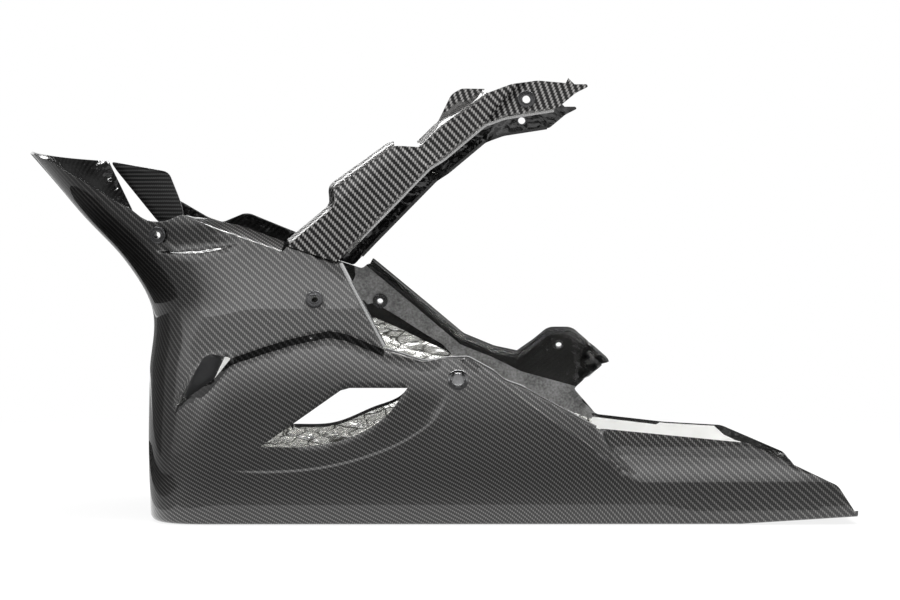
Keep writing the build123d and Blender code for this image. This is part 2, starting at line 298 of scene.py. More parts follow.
# Lamps in metres: place, target, width, height and brightness of the face
LAMPS = (
    ("top_strip", (0.0, -0.2, 1.7), (0.0, 0.0, 0.0), 2.4, 0.14, 40.0),
    ("back_strip", (-1.15, 1.6, 1.6), (-0.3, 0.0, 0.1), 2.1, 0.3, 8.0),
)


# Plain shape helpers

def hermite(knots, values, at):
    """Smooth curve through the knots, with slopes taken from the neighbours."""
    slopes = np.gradient(values, knots)
    left = np.clip(np.searchsorted(knots, at) - 1, 0, len(knots) - 2)
    gap = knots[left + 1] - knots[left]
    u = (at - knots[left]) / gap
    return (
        (2 * u**3 - 3 * u**2 + 1) * values[left]
        + (u**3 - 2 * u**2 + u) * gap * slopes[left]
        + (3 * u**2 - 2 * u**3) * values[left + 1]
        + (u**3 - u**2) * gap * slopes[left + 1]
    )


def ease(share):
    """Smooth step from 0 to 1."""
    share = np.clip(share, 0.0, 1.0)
    return share * share * (3.0 - 2.0 * share)


def along(points, x):
    """Straight-line value of a list of points at x."""
    table = np.array(points, float)
    return np.interp(x, table[:, 0], table[:, 1])


def rounded(points, radius, closed=False, sharp=()):
    """Outline whose corners are cut by short curves."""
    corners = [np.array(p, float) for p in points]
    count = len(corners)
    made = []
    for index, corner in enumerate(corners):
        if index in sharp or (not closed and index in (0, count - 1)):
            made.append(corner)
            continue
        before = corners[index - 1] - corner
        after = corners[(index + 1) % count] - corner
        cut = min(radius, 0.45 * np.linalg.norm(before), 0.45 * np.linalg.norm(after))
        start = corner + before * cut / np.linalg.norm(before)
        end = corner + after * cut / np.linalg.norm(after)
        for u in np.linspace(0.0, 1.0, 5):
            made.append((1 - u) ** 2 * start + 2 * u * (1 - u) * corner + u * u * end)
    return np.array(made)


def sampled(points, step, closed=False):
    """Points along an outline, at most step apart."""
    points = np.array(points, float)
    ends = np.vstack([points[1:], points[:1]]) if closed else points[1:]
    made = []
    for start, end in zip(points, ends):
        count = max(1, math.ceil(np.linalg.norm(end - start) / step))
        made += [start + (end - start) * k / count for k in range(count)]
    if not closed:
        made.append(points[-1])
    return np.array(made)


def reach_along(points):
    """Length along a line of points, from its start to each point."""
    return np.concatenate([[0.0], np.cumsum(np.linalg.norm(np.diff(points, axis=0), axis=1))])


def ring_of(centre, radius, count):
    """Closed circle of points."""
    angles = np.linspace(0.0, 2 * math.pi, count + 1)[:-1]
    return np.array(centre) + radius * np.stack([np.cos(angles), np.sin(angles)], axis=1)


def grid_faces(rows, count):
    """Four-sided faces of a grid of points that is stacked row by row."""
    return [
        (row * count + k, row * count + k + 1, (row + 1) * count + k + 1, (row + 1) * count + k)
        for row in range(rows - 1)
        for k in range(count - 1)
    ]


def side_of(line, points):
    """Signed distance from a straight line, above zero on its left."""
    start, end = np.array(line[0], float), np.array(line[1], float)
    run = (end - start) / np.linalg.norm(end - start)
    return run[0] * (points[:, 1] - start[1]) - run[1] * (points[:, 0] - start[0])


def stretch_of(path, start, end):
    """Part of a sampled path between the samples nearest to two points."""
    first = np.argmin(np.linalg.norm(path - start, axis=1))
    last = np.argmin(np.linalg.norm(path - end, axis=1))
    return path[first:last + 1]


def curved(points, count):
    """Smooth curve through a few points, by chord length."""
    points = np.array(points, float)
    reach = reach_along(points)
    at = np.linspace(0.0, reach[-1], count)
    return np.stack([hermite(reach, points[:, k], at) for k in (0, 1)], axis=1)


def inside(points, loop):
    """Which points lie inside a closed loop."""
    x, z = points[:, 0], points[:, 1]
    hit = np.zeros(len(points), bool)
    for (x0, z0), (x1, z1) in zip(loop, np.roll(loop, -1, axis=0)):
        if z0 == z1:
            continue
        crosses = (z0 > z) != (z1 > z)
        hit ^= crosses & (x < (x1 - x0) * (z - z0) / (z1 - z0) + x0)
    return hit


def distance_to(points, line):
    """Distance of each point from an open line of points."""
    best = np.full(len(points), np.inf)
    for start, end in zip(line[:-1], line[1:]):
        run = end - start
        share = np.clip(((points - start) @ run) / max(run @ run, 1e-9), 0, 1)
        best = np.minimum(best, np.linalg.norm(points - start - share[:, None] * run, axis=1))
    return best


def inset_path(path, gap):
    """Open path moved to its right by a gap."""
    run = np.gradient(path, axis=0)
    run /= np.linalg.norm(run, axis=1)[:, None]
    return (path + gap * np.stack([run[:, 1], -run[:, 0]], axis=1))[1:-1]


def triangulated(loop, holes, lines, step):
    """Points and triangles that fill a loop, clear of its holes, with every line kept as edges."""
    points, edges = [], []
    closed = [loop, *holes]
    for index, line in enumerate([*closed, *lines]):
        first = len(points)
        points += [tuple(p) for p in line]
        edges += [(first + k, first + k + 1) for k in range(len(line) - 1)]
        if index < len(closed):
            edges.append((len(points) - 1, first))
    near = KDTree(len(points))
    for index, (x, z) in enumerate(points):
        near.insert((x, z, 0.0), index)
    near.balance()
    low, high = loop.min(axis=0), loop.max(axis=0)
    rows = np.arange(low[1] + step / 2, high[1], step * 0.866)
    grid = np.array([
        (x, z)
        for row, z in enumerate(rows)
        for x in np.arange(low[0] + step * (0.5 if row % 2 else 0.25), high[0], step)
    ])
    keep = inside(grid, loop)
    for hole in holes:
        keep &= ~inside(grid, hole)
    for x, z in grid[keep]:
        if near.find((x, z, 0.0))[2] > 0.62 * step:
            points.append((x, z))
    made, _, faces, _, _, _ = delaunay_2d_cdt([Vector(p) for p in points], edges, [], 0, 1e-4)
    made = np.array([tuple(p) for p in made])
    faces = np.array([tuple(f) for f in faces])
    middle = made[faces].mean(axis=1)
    keep = inside(middle, loop)
    for hole in holes:
        keep &= ~inside(middle, hole)
    return made, faces[keep]


# Form of the tub

def section(z):
    """Nose front, side start, half width, keel power and shoulder power at a height."""
    return [hermite(STATIONS[:, 0], STATIONS[:, column], z) for column in range(1, 6)]


def fold_back(s, z, inset):
    """Plan point (X, half width) of wall place s: below 0 round the nose, above 0 along the side."""
    front, side, half, keel, shoulder = section(z)
    turn = np.sin(math.pi / 2 * (1 + np.clip(s, -NOSE_SPAN, 0) / NOSE_SPAN))
    bow = np.clip(1 - turn**keel, 0.0, 1.0) ** (1 / shoulder)
    straight = np.maximum(s, 0.0)
    x = np.where(s < 0, side - (side - front - inset) * bow, side + straight)
    y = (half - inset) * turn - REAR_TAPER * straight / (REAR_X - side)
    return x, y


def fold_out(x, z):
    """Wall place s of a point (X, Z) on the wall."""
    front, side, half, keel, shoulder = section(z)
    bow = np.clip((side - x) / (side - front), 0.0, 1.0)
    turn = np.clip(1 - bow**shoulder, 0.0, 1.0) ** (1 / keel)
    return np.where(x >= side, x - side, NOSE_SPAN * (2 / math.pi * np.arcsin(turn) - 1))


def floor_height(x):
    """Underside of the tub: flat, and swept up at the tail."""
    return np.maximum(0.0, SWEEP_SLOPE * (x - SWEEP_X))


def set_in(x, z):
    """How far the wall is set in from its plain section: flank, waist facet and top strip."""
    behind = side_of(FLANK_CREASE, np.stack([x, z], axis=1))
    depth = FLANK_LEAN * np.maximum(behind, 0.0)
    depth += FLANK_STEP * ease(behind / FLANK_BAND) * ease((z - FLANK_FADE_Z) / FLANK_FADE_RUN)
    gate = ease((x - along([(z, x) for x, z in REAR_GATE], z)) / GATE_RUN) * (x > GATE_X)
    above = z - along(STRIP_CREASE, x)
    depth += gate * WAIST_LEAN * np.maximum(z - WAIST_Z, 0.0) * (above < WAIST_REACH)
    return depth + gate * (STRIP_LEAN - WAIST_LEAN) * np.maximum(above, 0.0)


def stand_out(x, z):
    """How far the ledge stands proud of the wall, less the recess and the dimple."""
    points = np.stack([x, z], axis=1)
    crest = np.array(LEDGE_CREST, float)
    below = along(crest, x) - z
    height = np.interp(x, crest[:, 0], LEDGE_HEIGHT) * (x >= crest[0, 0])
    height *= 1 - ease((x - crest[-1, 0]) / LEDGE_END_RUN)
    ledge = height * np.clip(below / LEDGE_BAND, 0, 1) * (1 - ease((below - LEDGE_BAND) / LEDGE_RUN_OUT))
    curve = curved(RECESS_CURVE, 60)
    straight = np.array(RECESS_STRAIGHT, float)
    loop = np.vstack([sampled(straight, 4.0)[:-1], curve[:-1]])
    deep = ease(distance_to(points, curve) / RECESS_BAND)
    deep *= np.clip(distance_to(points, straight) / RECESS_FADE, 0, 1)
    recess = RECESS_DEPTH * deep * inside(points, loop)
    lip = np.array(DIMPLE_CURVE, float)
    above = z - along(lip, x)
    dimple = ease((x - lip[0, 0]) / DIMPLE_FADE_IN) * ease((lip[-1, 0] - x) / DIMPLE_FADE_OUT)
    dimple *= ease(above / DIMPLE_LIP) * (1 - ease((above - DIMPLE_LIP) / DIMPLE_RUN_OUT))
    return ledge - recess - DIMPLE_DEPTH * dimple


def wall_points(s, z, side, inset=0.0, features=True):
    """Points in space of wall places (s, Z), in millimetres."""
    s, z = np.asarray(s, float), np.asarray(z, float)
    x, _ = fold_back(s, z, inset)
    height = z - floor_height(x)
    low = np.clip(1 - height / FLOOR_ROUND, 0.0, 1.0)
    pulled = inset + FLOOR_ROUND * (1 - np.sqrt(1 - low * low))
    x, y = fold_back(s, z, pulled)
    y = y - set_in(x, z)
    if features:
        y = y + stand_out(x, z)
    return np.stack([x, side * y, z], axis=1)


def vent_loop(side, step):
    """Outline of the large vent."""
    straight = [VENT_CURVE[side][-1], *VENT_STRAIGHT]
    return np.vstack([sampled(straight, step)[:-1], curved(VENT_CURVE[side], VENT_SAMPLES)[:-1]])


def to_wall(points):
    """Outline (X, Z) as wall places (s, Z)."""
    points = np.asarray(points, float)
    return np.stack([fold_out(points[:, 0], points[:, 1]), points[:, 1]], axis=1)


def beak_edge(first, second, count):
    """Top edge round the nose, where the line from first to second cuts the wall, as places (s, Z)."""
    end = to_wall([second])[0, 0]
    s = np.linspace(-NOSE_SPAN, end, count)
    z = np.full(count, float(second[1]))
    for _ in range(60):
        x, _ = fold_back(s, z, 0.0)
        z = first[1] + (second[1] - first[1]) * (x - first[0]) / (second[0] - first[0])
    return np.stack([s, z], axis=1)


# Mesh making

def put(name, data):
    """New object in the scene."""
    made = bpy.data.objects.new(name, data)
    bpy.context.scene.collection.objects.link(made)
    return made


class Sheet:
    """Faces gathered from several panels, welded into one mesh."""

    def __init__(self):
        self.points, self.cloth, self.faces, self.ply, self.slot = [], [], [], [], []

    def add(self, points, cloth, faces, ply=0, slot=0):
        first = len(self.points)
        self.points += [tuple(p) for p in points]
        self.cloth += [tuple(c) for c in cloth]
        self.faces += [tuple(first + i for i in face) for face in faces]
        self.ply += [ply] * len(faces) if np.isscalar(ply) else list(ply)
        self.slot += [slot] * len(faces) if np.isscalar(slot) else list(slot)

    def mesh(self, name, angles, outward):
        """Mesh in metres with a cloth map: angles turn each ply, outward says which way faces look."""
        bm = bmesh.new()
        layer = bm.verts.layers.float_vector.new("cloth")
        ply_layer = bm.faces.layers.int.new("ply")
        verts = []
        for point, cloth in zip(self.points, self.cloth):
            vert = bm.verts.new([c * MM for c in point])
            vert[layer] = (cloth[0], cloth[1], 0.0)
            verts.append(vert)
        for face, ply, slot in zip(self.faces, self.ply, self.slot):
            made = bm.faces.new([verts[i] for i in face])
            made[ply_layer] = int(ply)
            made.material_index = int(slot)
            made.smooth = True
        bmesh.ops.remove_doubles(bm, verts=bm.verts, dist=WELD * MM)
        bmesh.ops.dissolve_degenerate(bm, edges=bm.edges, dist=SLIVER * MM)
        bmesh.ops.recalc_face_normals(bm, faces=bm.faces)
        bm.normal_update()
        votes = [f.calc_area() * f.normal.dot(outward(f.calc_center_median())) for f in bm.faces]
        if sum(votes) < 0:
            bmesh.ops.reverse_faces(bm, faces=bm.faces)
        uv = bm.loops.layers.uv.new("cloth")
        turns = [(math.cos(math.radians(a)), math.sin(math.radians(a))) for a in angles]
        for face in bm.faces:
            c, s = turns[face[ply_layer]]
            for loop in face.loops:
                u, v, _ = loop.vert[layer]
                loop[uv].uv = ((c * u + s * v) * MM, (c * v - s * u) * MM)
        mesh = bpy.data.meshes.new(name)
        bm.to_mesh(mesh)
        bm.free()
        return mesh


def thickened(mesh, name, thickness, materials, rim_round=0.5):
    """Object of a laminate sheet: wall thickness inwards, rim softened, all applied to the mesh."""
    rough = put(name + "_rough", mesh)
    for material in materials:
        mesh.materials.append(material)
    solid = rough.modifiers.new("wall", "SOLIDIFY")
    solid.thickness = thickness * MM
    solid.offset = -1.0
    solid.use_even_offset = False
    solid.use_quality_normals = True
    solid.material_offset = 1
    solid.material_offset_rim = 2
    if rim_round:
        bevel = rough.modifiers.new("rim", "BEVEL")
        bevel.width = rim_round * MM
        bevel.segments = 2
        bevel.limit_method = "ANGLE"
        bevel.angle_limit = math.radians(RIM_ANGLE)
        bevel.use_clamp_overlap = True
    graph = bpy.context.evaluated_depsgraph_get()
    final = bpy.data.meshes.new_from_object(rough.evaluated_get(graph))
    final.name = name
    bpy.data.objects.remove(rough)
    final.shade_smooth()
    final.set_sharp_from_angle(angle=math.radians(CREASE_ANGLE))
    return put(name, final)


def turned_edge(base, path, side, rows):
    """Strip bent from an edge: rows of (lean, depth) away from the base points. Returns points and faces."""
    ahead = np.vstack([path[1:], path[-1:]])
    back = np.vstack([path[:1], path[:-1]])
    run = ahead - back
    run /= np.linalg.norm(run, axis=1)[:, None]
    out = np.stack([-run[:, 1], np.zeros(len(run)), run[:, 0]], axis=1)
    across = np.array([0.0, -side, 0.0])
    grid = [base]
    for lean, depth in rows:
        grid.append(base + out * np.asarray(lean).reshape(-1, 1) + across * depth)
    return np.vstack(grid), grid_faces(len(grid), len(base))


# Node wiring

class Wiring:
    """Shorthand for adding and linking nodes in one tree."""

    def __init__(self, tree):
        self.tree = tree

    def node(self, kind, inputs=None, **settings):
        made = self.tree.nodes.new(kind)
        for key, value in settings.items():
            setattr(made, key, value)
        for key, value in (inputs or {}).items():
            self.feed(made.inputs[key], value)
        return made

    def feed(self, socket, value):
        if isinstance(value, bpy.types.NodeSocket):
            self.tree.links.new(value, socket)
        else:
            socket.default_value = value

    def math(self, operation, *values):
        made = self.node("ShaderNodeMath", operation=operation)
        for socket, value in zip(made.inputs, values):
            self.feed(socket, value)
        return made.outputs[0]

    def ramp(self, value, low, high):
        made = self.node("ShaderNodeMapRange", {"Value": value, "From Min": low, "From Max": high})
        made.interpolation_type = "SMOOTHSTEP"
        return made.outputs["Result"]

    def blend(self, share, first, second):
        made = self.node("ShaderNodeMix", data_type="RGBA")
        for index, value in ((0, share), (6, first), (7, second)):
            self.feed(made.inputs[index], value)
        return made.outputs[2]

    def noise(self, place, scale, detail):
        made = self.node("ShaderNodeTexNoise", {"Vector": place, "Scale": scale, "Detail": detail})
        return made.outputs["Fac"]

    def place(self):
        return self.node("ShaderNodeTexCoord").outputs["Object"]

    def group(self, tree, **inputs):
        return self.node("ShaderNodeGroup", inputs, node_tree=tree).outputs

    def cloth(self, weave):
        """Outputs of the cloth group, laid by the mesh's cloth map."""
        place = self.node("ShaderNodeUVMap", uv_map="cloth").outputs["UV"]
        return self.group(twill_group(), Cloth=place, Tow=weave[0], Float=weave[1])

    def surface(self, colour, roughness, bump=None, plain=None):
        """Feeds the material's shader: bump is height, strength and distance, plain holds fixed values."""
        sockets = self.tree.nodes["Principled BSDF"].inputs
        self.feed(sockets["Base Color"], colour)
        self.feed(sockets["Roughness"], roughness)
        if bump:
            relief = self.node("ShaderNodeBump", dict(zip(("Height", "Strength", "Distance"), bump)))
            self.feed(sockets["Normal"], relief.outputs["Normal"])
        for label, value in (plain or {}).items():
            sockets[label].default_value = value


def new_group(name, vector, numbers, outputs):
    """Shader node group: one vector and some numbers in, numbers out. Returns its wiring and its ends."""
    tree = bpy.data.node_groups.new(name, "ShaderNodeTree")
    tree.interface.new_socket(vector, in_out="INPUT", socket_type="NodeSocketVector")
    for labels, way in ((numbers, "INPUT"), (outputs, "OUTPUT")):
        for label in labels:
            tree.interface.new_socket(label, in_out=way, socket_type="NodeSocketFloat")
    given, result = tree.nodes.new("NodeGroupInput"), tree.nodes.new("NodeGroupOutput")
    return Wiring(tree), given.outputs, result.inputs


def twill_group():
    """Woven cloth: which tow lies on top, and how high it crowns. Float is 1 for plain weave, 2 for twill."""
    name = "Woven cloth"
    if name in bpy.data.node_groups:
        return bpy.data.node_groups[name]
    w, given, result = new_group(name, "Cloth", ("Tow", "Float"), ("Over", "Rise", "Strand"))
    drift = w.math("MULTIPLY", w.math("SUBTRACT", w.noise(given["Cloth"], 60.0, 1.0), 0.5), 0.25)
    parts = w.node("ShaderNodeSeparateXYZ", {"Vector": given["Cloth"]}).outputs
    u = w.math("ADD", w.math("DIVIDE", parts["X"], given["Tow"]), drift)
    v = w.math("ADD", w.math("DIVIDE", parts["Y"], given["Tow"]), drift)
    column, row = w.math("FLOOR", u), w.math("FLOOR", v)
    length = given["Float"]
    repeat = w.math("MULTIPLY", length, 2.0)
    over = w.math("LESS_THAN", w.math("FLOORED_MODULO", w.math("ADD", column, row), repeat), length)
    under = w.math("SUBTRACT", 1.0, over)

    def crown(place):
        lean = w.math("MULTIPLY_ADD", w.math("FRACT", place), 2.0, -1.0)
        return w.math("SUBTRACT", 1.0, w.math("MULTIPLY", lean, lean))

    def float_arch(place):
        turn = w.math("DIVIDE", w.math("MULTIPLY", place, math.pi), length)
        return w.math("ABSOLUTE", w.math("SINE", turn))

    def upper(warp, weft):
        return w.math("ADD", w.math("MULTIPLY", over, warp), w.math("MULTIPLY", under, weft))

    warp = w.math("MULTIPLY", crown(u), float_arch(w.math("ADD", column, v)))
    weft = w.math("MULTIPLY", crown(v), float_arch(w.math("ADD", row, u)))
    strands = w.math("SINE", w.math("MULTIPLY", upper(u, v), 60.0))
    w.feed(result["Over"], over)
    w.feed(result["Rise"], upper(warp, weft))
    w.feed(result["Strand"], w.math("MULTIPLY_ADD", strands, 0.5, 0.5))
    return w.tree


def crinkle_group():
    """Wrinkles of a bagged resin face or a foil: height, slow patches and distance from the next fold."""
    name = "Bag wrinkles"
    if name in bpy.data.node_groups:
        return bpy.data.node_groups[name]
    w, given, result = new_group(name, "Place", ("Scale",), ("Height", "Patch", "Fold"))
    place, scale = given["Place"], given["Scale"]
    warp = w.node("ShaderNodeTexNoise", {"Vector": place, "Scale": 40.0, "Detail": 2.0}).outputs["Color"]
    shift = {0: warp, 1: (0.02, 0.02, 0.02), 2: place}
    bent = w.node("ShaderNodeVectorMath", shift, operation="MULTIPLY_ADD").outputs[0]
    cells = {"Vector": bent, "Scale": scale}
    creases = w.node("ShaderNodeTexVoronoi", cells, feature="SMOOTH_F1").outputs["Distance"]
    ripples = w.math("MULTIPLY", w.noise(bent, w.math("MULTIPLY", scale, 1.7), 2.0), 0.4)
    w.feed(result["Height"], w.math("ADD", creases, ripples))
    w.feed(result["Patch"], w.noise(place, 18.0, 2.0))
    folds = w.node("ShaderNodeTexVoronoi", cells, feature="DISTANCE_TO_EDGE")
    w.feed(result["Fold"], folds.outputs["Distance"])
    return w.tree


def new_material(name):
    """Plain node material; returns it and its wiring."""
    material = bpy.data.materials.new(name)
    material.use_nodes = True
    return material, Wiring(material.node_tree)


def grey(value):
    return (value, value, value, 1.0)


def carbon_outside(name, weave, light, dark, coat=1.0):
    """Clear-coated cloth, seen from the mould side. The weave is its tow width and float."""
    material, w = new_material(name)
    twill = w.cloth(weave)
    shade = w.math("MULTIPLY_ADD", twill["Rise"], 0.85, 0.15)
    lit = w.math("MULTIPLY", shade, w.math("MULTIPLY_ADD", twill["Strand"], 0.2, 0.8))
    colour = w.blend(lit, grey(0.003), w.blend(twill["Over"], (*dark, 1.0), (*light, 1.0)))
    gloss = {"Metallic": 1.0, "Coat Weight": coat, "Coat Roughness": 0.02, "Coat IOR": 1.5}
    w.surface(colour, w.math("MULTIPLY_ADD", twill["Strand"], 0.1, 0.38), (twill["Rise"], 0.2, 0.0002), gloss)
    return material


def carbon_inside(name, finish, weave):
    """Wrinkled gloss resin over dark cloth, from the bag side."""
    material, w = new_material(name)
    wrinkles = w.group(crinkle_group(), Place=w.place(), Scale=finish.wrinkle_scale)
    tone = w.blend(w.cloth(weave)["Over"], grey(0.003), grey(0.008))
    colour = w.blend(w.ramp(wrinkles["Patch"], 0.5, 0.8), tone, grey(0.02))
    roughness = w.math("MULTIPLY_ADD", wrinkles["Patch"], 0.06, 0.03)
    w.surface(colour, roughness, (wrinkles["Height"], 0.35, 0.0014))
    return material


def foil_inside(name, finish):
    """Crinkled heat foil on the inside of the lower tub, with slanting folds and painted shade along them."""
    material, w = new_material(name)
    slant = {"Vector": w.place(), "Rotation": (0.0, 0.6, 0.0), "Scale": (0.7, 1.0, 1.7)}
    place = w.node("ShaderNodeMapping", slant).outputs["Vector"]
    wrinkles = w.group(crinkle_group(), Place=place, Scale=finish.wrinkle_scale * 0.5)
    # Painted shade: the foil is darkened along its folds, where they run high, for the shade and dark
    # reflections in the creases
    unshaded_below_crest = w.math("MULTIPLY_ADD", w.ramp(wrinkles["Height"], 0.45, 0.75), -0.85, 0.85)
    unshaded_share = w.math("MAXIMUM", w.ramp(wrinkles["Fold"], 0.0, 0.09), unshaded_below_crest)
    colour = w.blend(unshaded_share, (0.10, 0.10, 0.09, 1.0), (0.97, 0.97, 0.95, 1.0))
    roughness = w.math("MULTIPLY_ADD", wrinkles["Patch"], 0.15, 0.12)
    w.surface(colour, roughness, (wrinkles["Height"], 0.65, 0.005), {"Metallic": 1.0})
    return material


def glare_lining(name, finish):
    """Smooth heat lining on the inside of the tail, painted near-white as flat glare."""
    material, w = new_material(name)
    wrinkles = w.group(crinkle_group(), Place=w.place(), Scale=finish.wrinkle_scale * 0.3)
    share = w.ramp(wrinkles["Height"], 0.2, 0.7)
    colour = w.blend(share, (0.95, 0.95, 0.94, 1.0), (1.0, 1.0, 0.99, 1.0))
    w.surface(colour, w.math("MULTIPLY_ADD", wrinkles["Patch"], 0.2, 0.3))
    return material


def felt_inside(name):
    """Grey needle felt on the inside of the upper walls."""
    material, w = new_material(name)
    hair, clump = w.noise(w.place(), 500.0, 4.0), w.noise(w.place(), 45.0, 3.0)
    mixed = w.math("MULTIPLY_ADD", hair, 0.5, w.math("MULTIPLY", clump, 0.5))
    colour = w.blend(w.ramp(mixed, 0.3, 0.7), grey(0.08), grey(0.32))
    roughness = w.math("MULTIPLY_ADD", hair, 0.3, 0.45)
    w.surface(colour, roughness, (mixed, 0.6, 0.0006), {"Specular IOR Level": 0.3})
    return material


def resin_rim(name):
    """Trimmed and sealed edge of the laminate."""
    material, w = new_material(name)
    plies = w.noise(w.place(), 900.0, 2.0)
    gloss = {"Metallic": 1.0, "Coat Weight": 1.0, "Coat Roughness": 0.06}
    colour = w.blend(plies, grey(0.03), grey(0.10))
    w.surface(colour, w.math("MULTIPLY_ADD", plies, 0.2, 0.15), plain=gloss)
    return material


def speckled(name, dark, light, roughness, metallic, scale):
    """Moulded plastic or coated metal with a fine grain."""
    material, w = new_material(name)
    grain = w.noise(w.place(), scale, 3.0)
    colour = w.blend(grain, (*dark, 1.0), (*light, 1.0))
    rough = w.math("MULTIPLY_ADD", grain, 0.2, roughness)
    w.surface(colour, rough, (grain, 0.1, 0.0001), {"Metallic": metallic})
    return material


def laminate(finish, key, weave, light, dark, coat=1.0):
    """The three faces of a laminate: outside, inside and rim."""
    return [
        carbon_outside(key + " outside", weave, light, dark, coat),
        carbon_inside(key + " inside", finish, weave),
        resin_rim(key + " rim"),
    ]


def fit(piece, node):
    """Puts a piece in place of its CAD node."""
    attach(piece, "root")
    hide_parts(node)


# The user's sizes and finishes

class BellyPanSizes(bpy.types.PropertyGroup):
    """Sizes of the laminate."""

    wall: bpy.props.FloatProperty(
        name="Wall", description="Laminate thickness in mm", default=2.4, min=0.5,
    )
    mesh_step: bpy.props.FloatProperty(
        name="Mesh step", description="Spacing of the wall mesh in mm", default=5.0,
    )
    flange: bpy.props.FloatProperty(
        name="Flange", description="Depth of the return flanges in mm", default=12.0,
    )


class BellyPanFinish(bpy.types.PropertyGroup):
    """Cloth and resin."""

    tow_width: bpy.props.FloatProperty(
        name="Tow width", description="Width of one tow of the tub's cloth", default=0.00145, unit="LENGTH",
    )
    arm_tow: bpy.props.FloatProperty(
        name="Arm tow", description="Width of one tow of the arms' cloth", default=0.0017, unit="LENGTH",
    )
    wrinkle_scale: bpy.props.FloatProperty(
        name="Wrinkle scale", description="Wrinkles per metre on the bag side", default=160.0,
    )
    light_tow: bpy.props.FloatVectorProperty(
        name="Light tow", description="Colour of the tows that catch the light", subtype="COLOR", size=3,
        default=(0.26, 0.255, 0.25),
    )
    dark_tow: bpy.props.FloatVectorProperty(
        name="Dark tow", description="Colour of the tows that lie across", subtype="COLOR", size=3,
        default=(0.07, 0.07, 0.07),
    )


class BellyPanStage(bpy.types.PropertyGroup):
    """Studio."""

    floor_colour: bpy.props.FloatVectorProperty(
        name="Floor", description="Colour of the floor", subtype="COLOR", size=3, default=(0.9, 0.9, 0.9),
    )
    lens: bpy.props.FloatProperty(name="Lens", description="Focal length in mm", default=100.0)


# Pieces

def wall_cloth(places, side):
    """Cloth coordinates of wall places, in millimetres: true length round the nose, rows closer low down."""
    s, z = places[:, 0], places[:, 1]
    x, y = fold_back(np.minimum(s, 0.0)[:, None] * np.linspace(0.0, 1.0, 41), z[:, None], 0.0)
    round_nose = np.hypot(np.diff(x, axis=1), np.diff(y, axis=1)).sum(axis=1)
    u = section(z)[1] + np.where(s < 0, -round_nose, s)
    drop = np.maximum(CROWD_TOP - z, 0.0)
    near, far = drop**2 / (2 * CROWD_DEPTH), drop - CROWD_DEPTH / 2
    crowded = CROWD_SHARE * np.where(drop < CROWD_DEPTH, near, far)
    crowded *= 1 - ease((u - CROWD_FADE_U) / CROWD_FADE_RUN)
    return np.stack([u * -side, z - crowded], axis=1)


def wall_top(side, step):
    """Top edge of a wall as places (s, Z), from the nose's centre line to the tail."""
    points = LEFT_TOP if side == LEFT else RIGHT_TOP
    nose = beak_edge(points[0], points[1], BEAK_SAMPLES)
    rest = sampled(rounded(points[1:], TOP_ROUND), step)
    return np.vstack([nose, to_wall(rest[1:])]), rest


def floor_row(z, step):
    """Places along the lower edge of a wall, at a height above the underside."""
    x_run = np.arange(FLOOR_ROW_X, TAIL_X, step)
    nose = np.stack([np.linspace(-NOSE_SPAN, 0.0, NOSE_SAMPLES), np.full(NOSE_SAMPLES, z)], axis=1)
    run = to_wall(np.stack([x_run, z + floor_height(x_run)], axis=1))
    tail = to_wall([(TAIL_X, z + floor_height(TAIL_X))])
    return np.vstack([nose, run[run[:, 0] > 1.0], tail])


def wall_lines(top_path, step):
    """Lines that the mesh of a wall keeps as edges: folds, creases, lips and the limits of the linings."""
    crest, crease = np.array(LEDGE_CREST, float), np.array(FLANK_CREASE, float)
    normal = np.array([crease[0, 1] - crease[1, 1], crease[1, 0] - crease[0, 0]])
    normal /= np.linalg.norm(normal)
    dimple, recess = curved(DIMPLE_CURVE, 30), curved(RECESS_CURVE, 70)[2:-2]
    edges = (-RECESS_ROUND, 0.0, RECESS_BAND / 2, RECESS_BAND, RECESS_BAND + RECESS_ROUND)
    lip = curved(VENT_CURVE[RIGHT], VENT_SAMPLES)[4:-2] - (0.0, VENT_LIP)
    lines = [inset_path(top_path, FOLD_LINE), lip]
    lines += [sampled(crest[1:-1] - (0.0, drop), step * 0.7) for drop in (0.0, LEDGE_BAND)]
    lines += [sampled(crease + normal * out, step * 0.7)[3:] for out in (0.0, FLANK_BAND / 2, FLANK_BAND)]
    lines += [dimple + (0.0, rise) for rise in np.linspace(0.0, DIMPLE_LIP, 5)]
    for rise in (-CREASE_ROUND, 0.0, CREASE_ROUND):
        lines.append(sampled(STRIP_CREASE[:3], step)[1:-1] + (0.0, rise))
        lines.append(sampled([(x, WAIST_Z + rise) for x in WAIST_SPAN], step))
    lines += [sampled(REAR_GATE, step)[:-1] + (back, 0.0) for back in (0.0, GATE_RUN / 2, GATE_RUN)]
    lines += [sampled(limit, step) for limit in (FOIL_TOP[2:], BARE_BELOW[1:], GLARE_TOP[:-1], FELT_TOP[1:])]
    lines += [recess + (0.0, rise) for rise in edges]
    lines.append(sampled(RECESS_STRAIGHT[:2], step)[2:-14])
    return [to_wall(line) for line in lines]


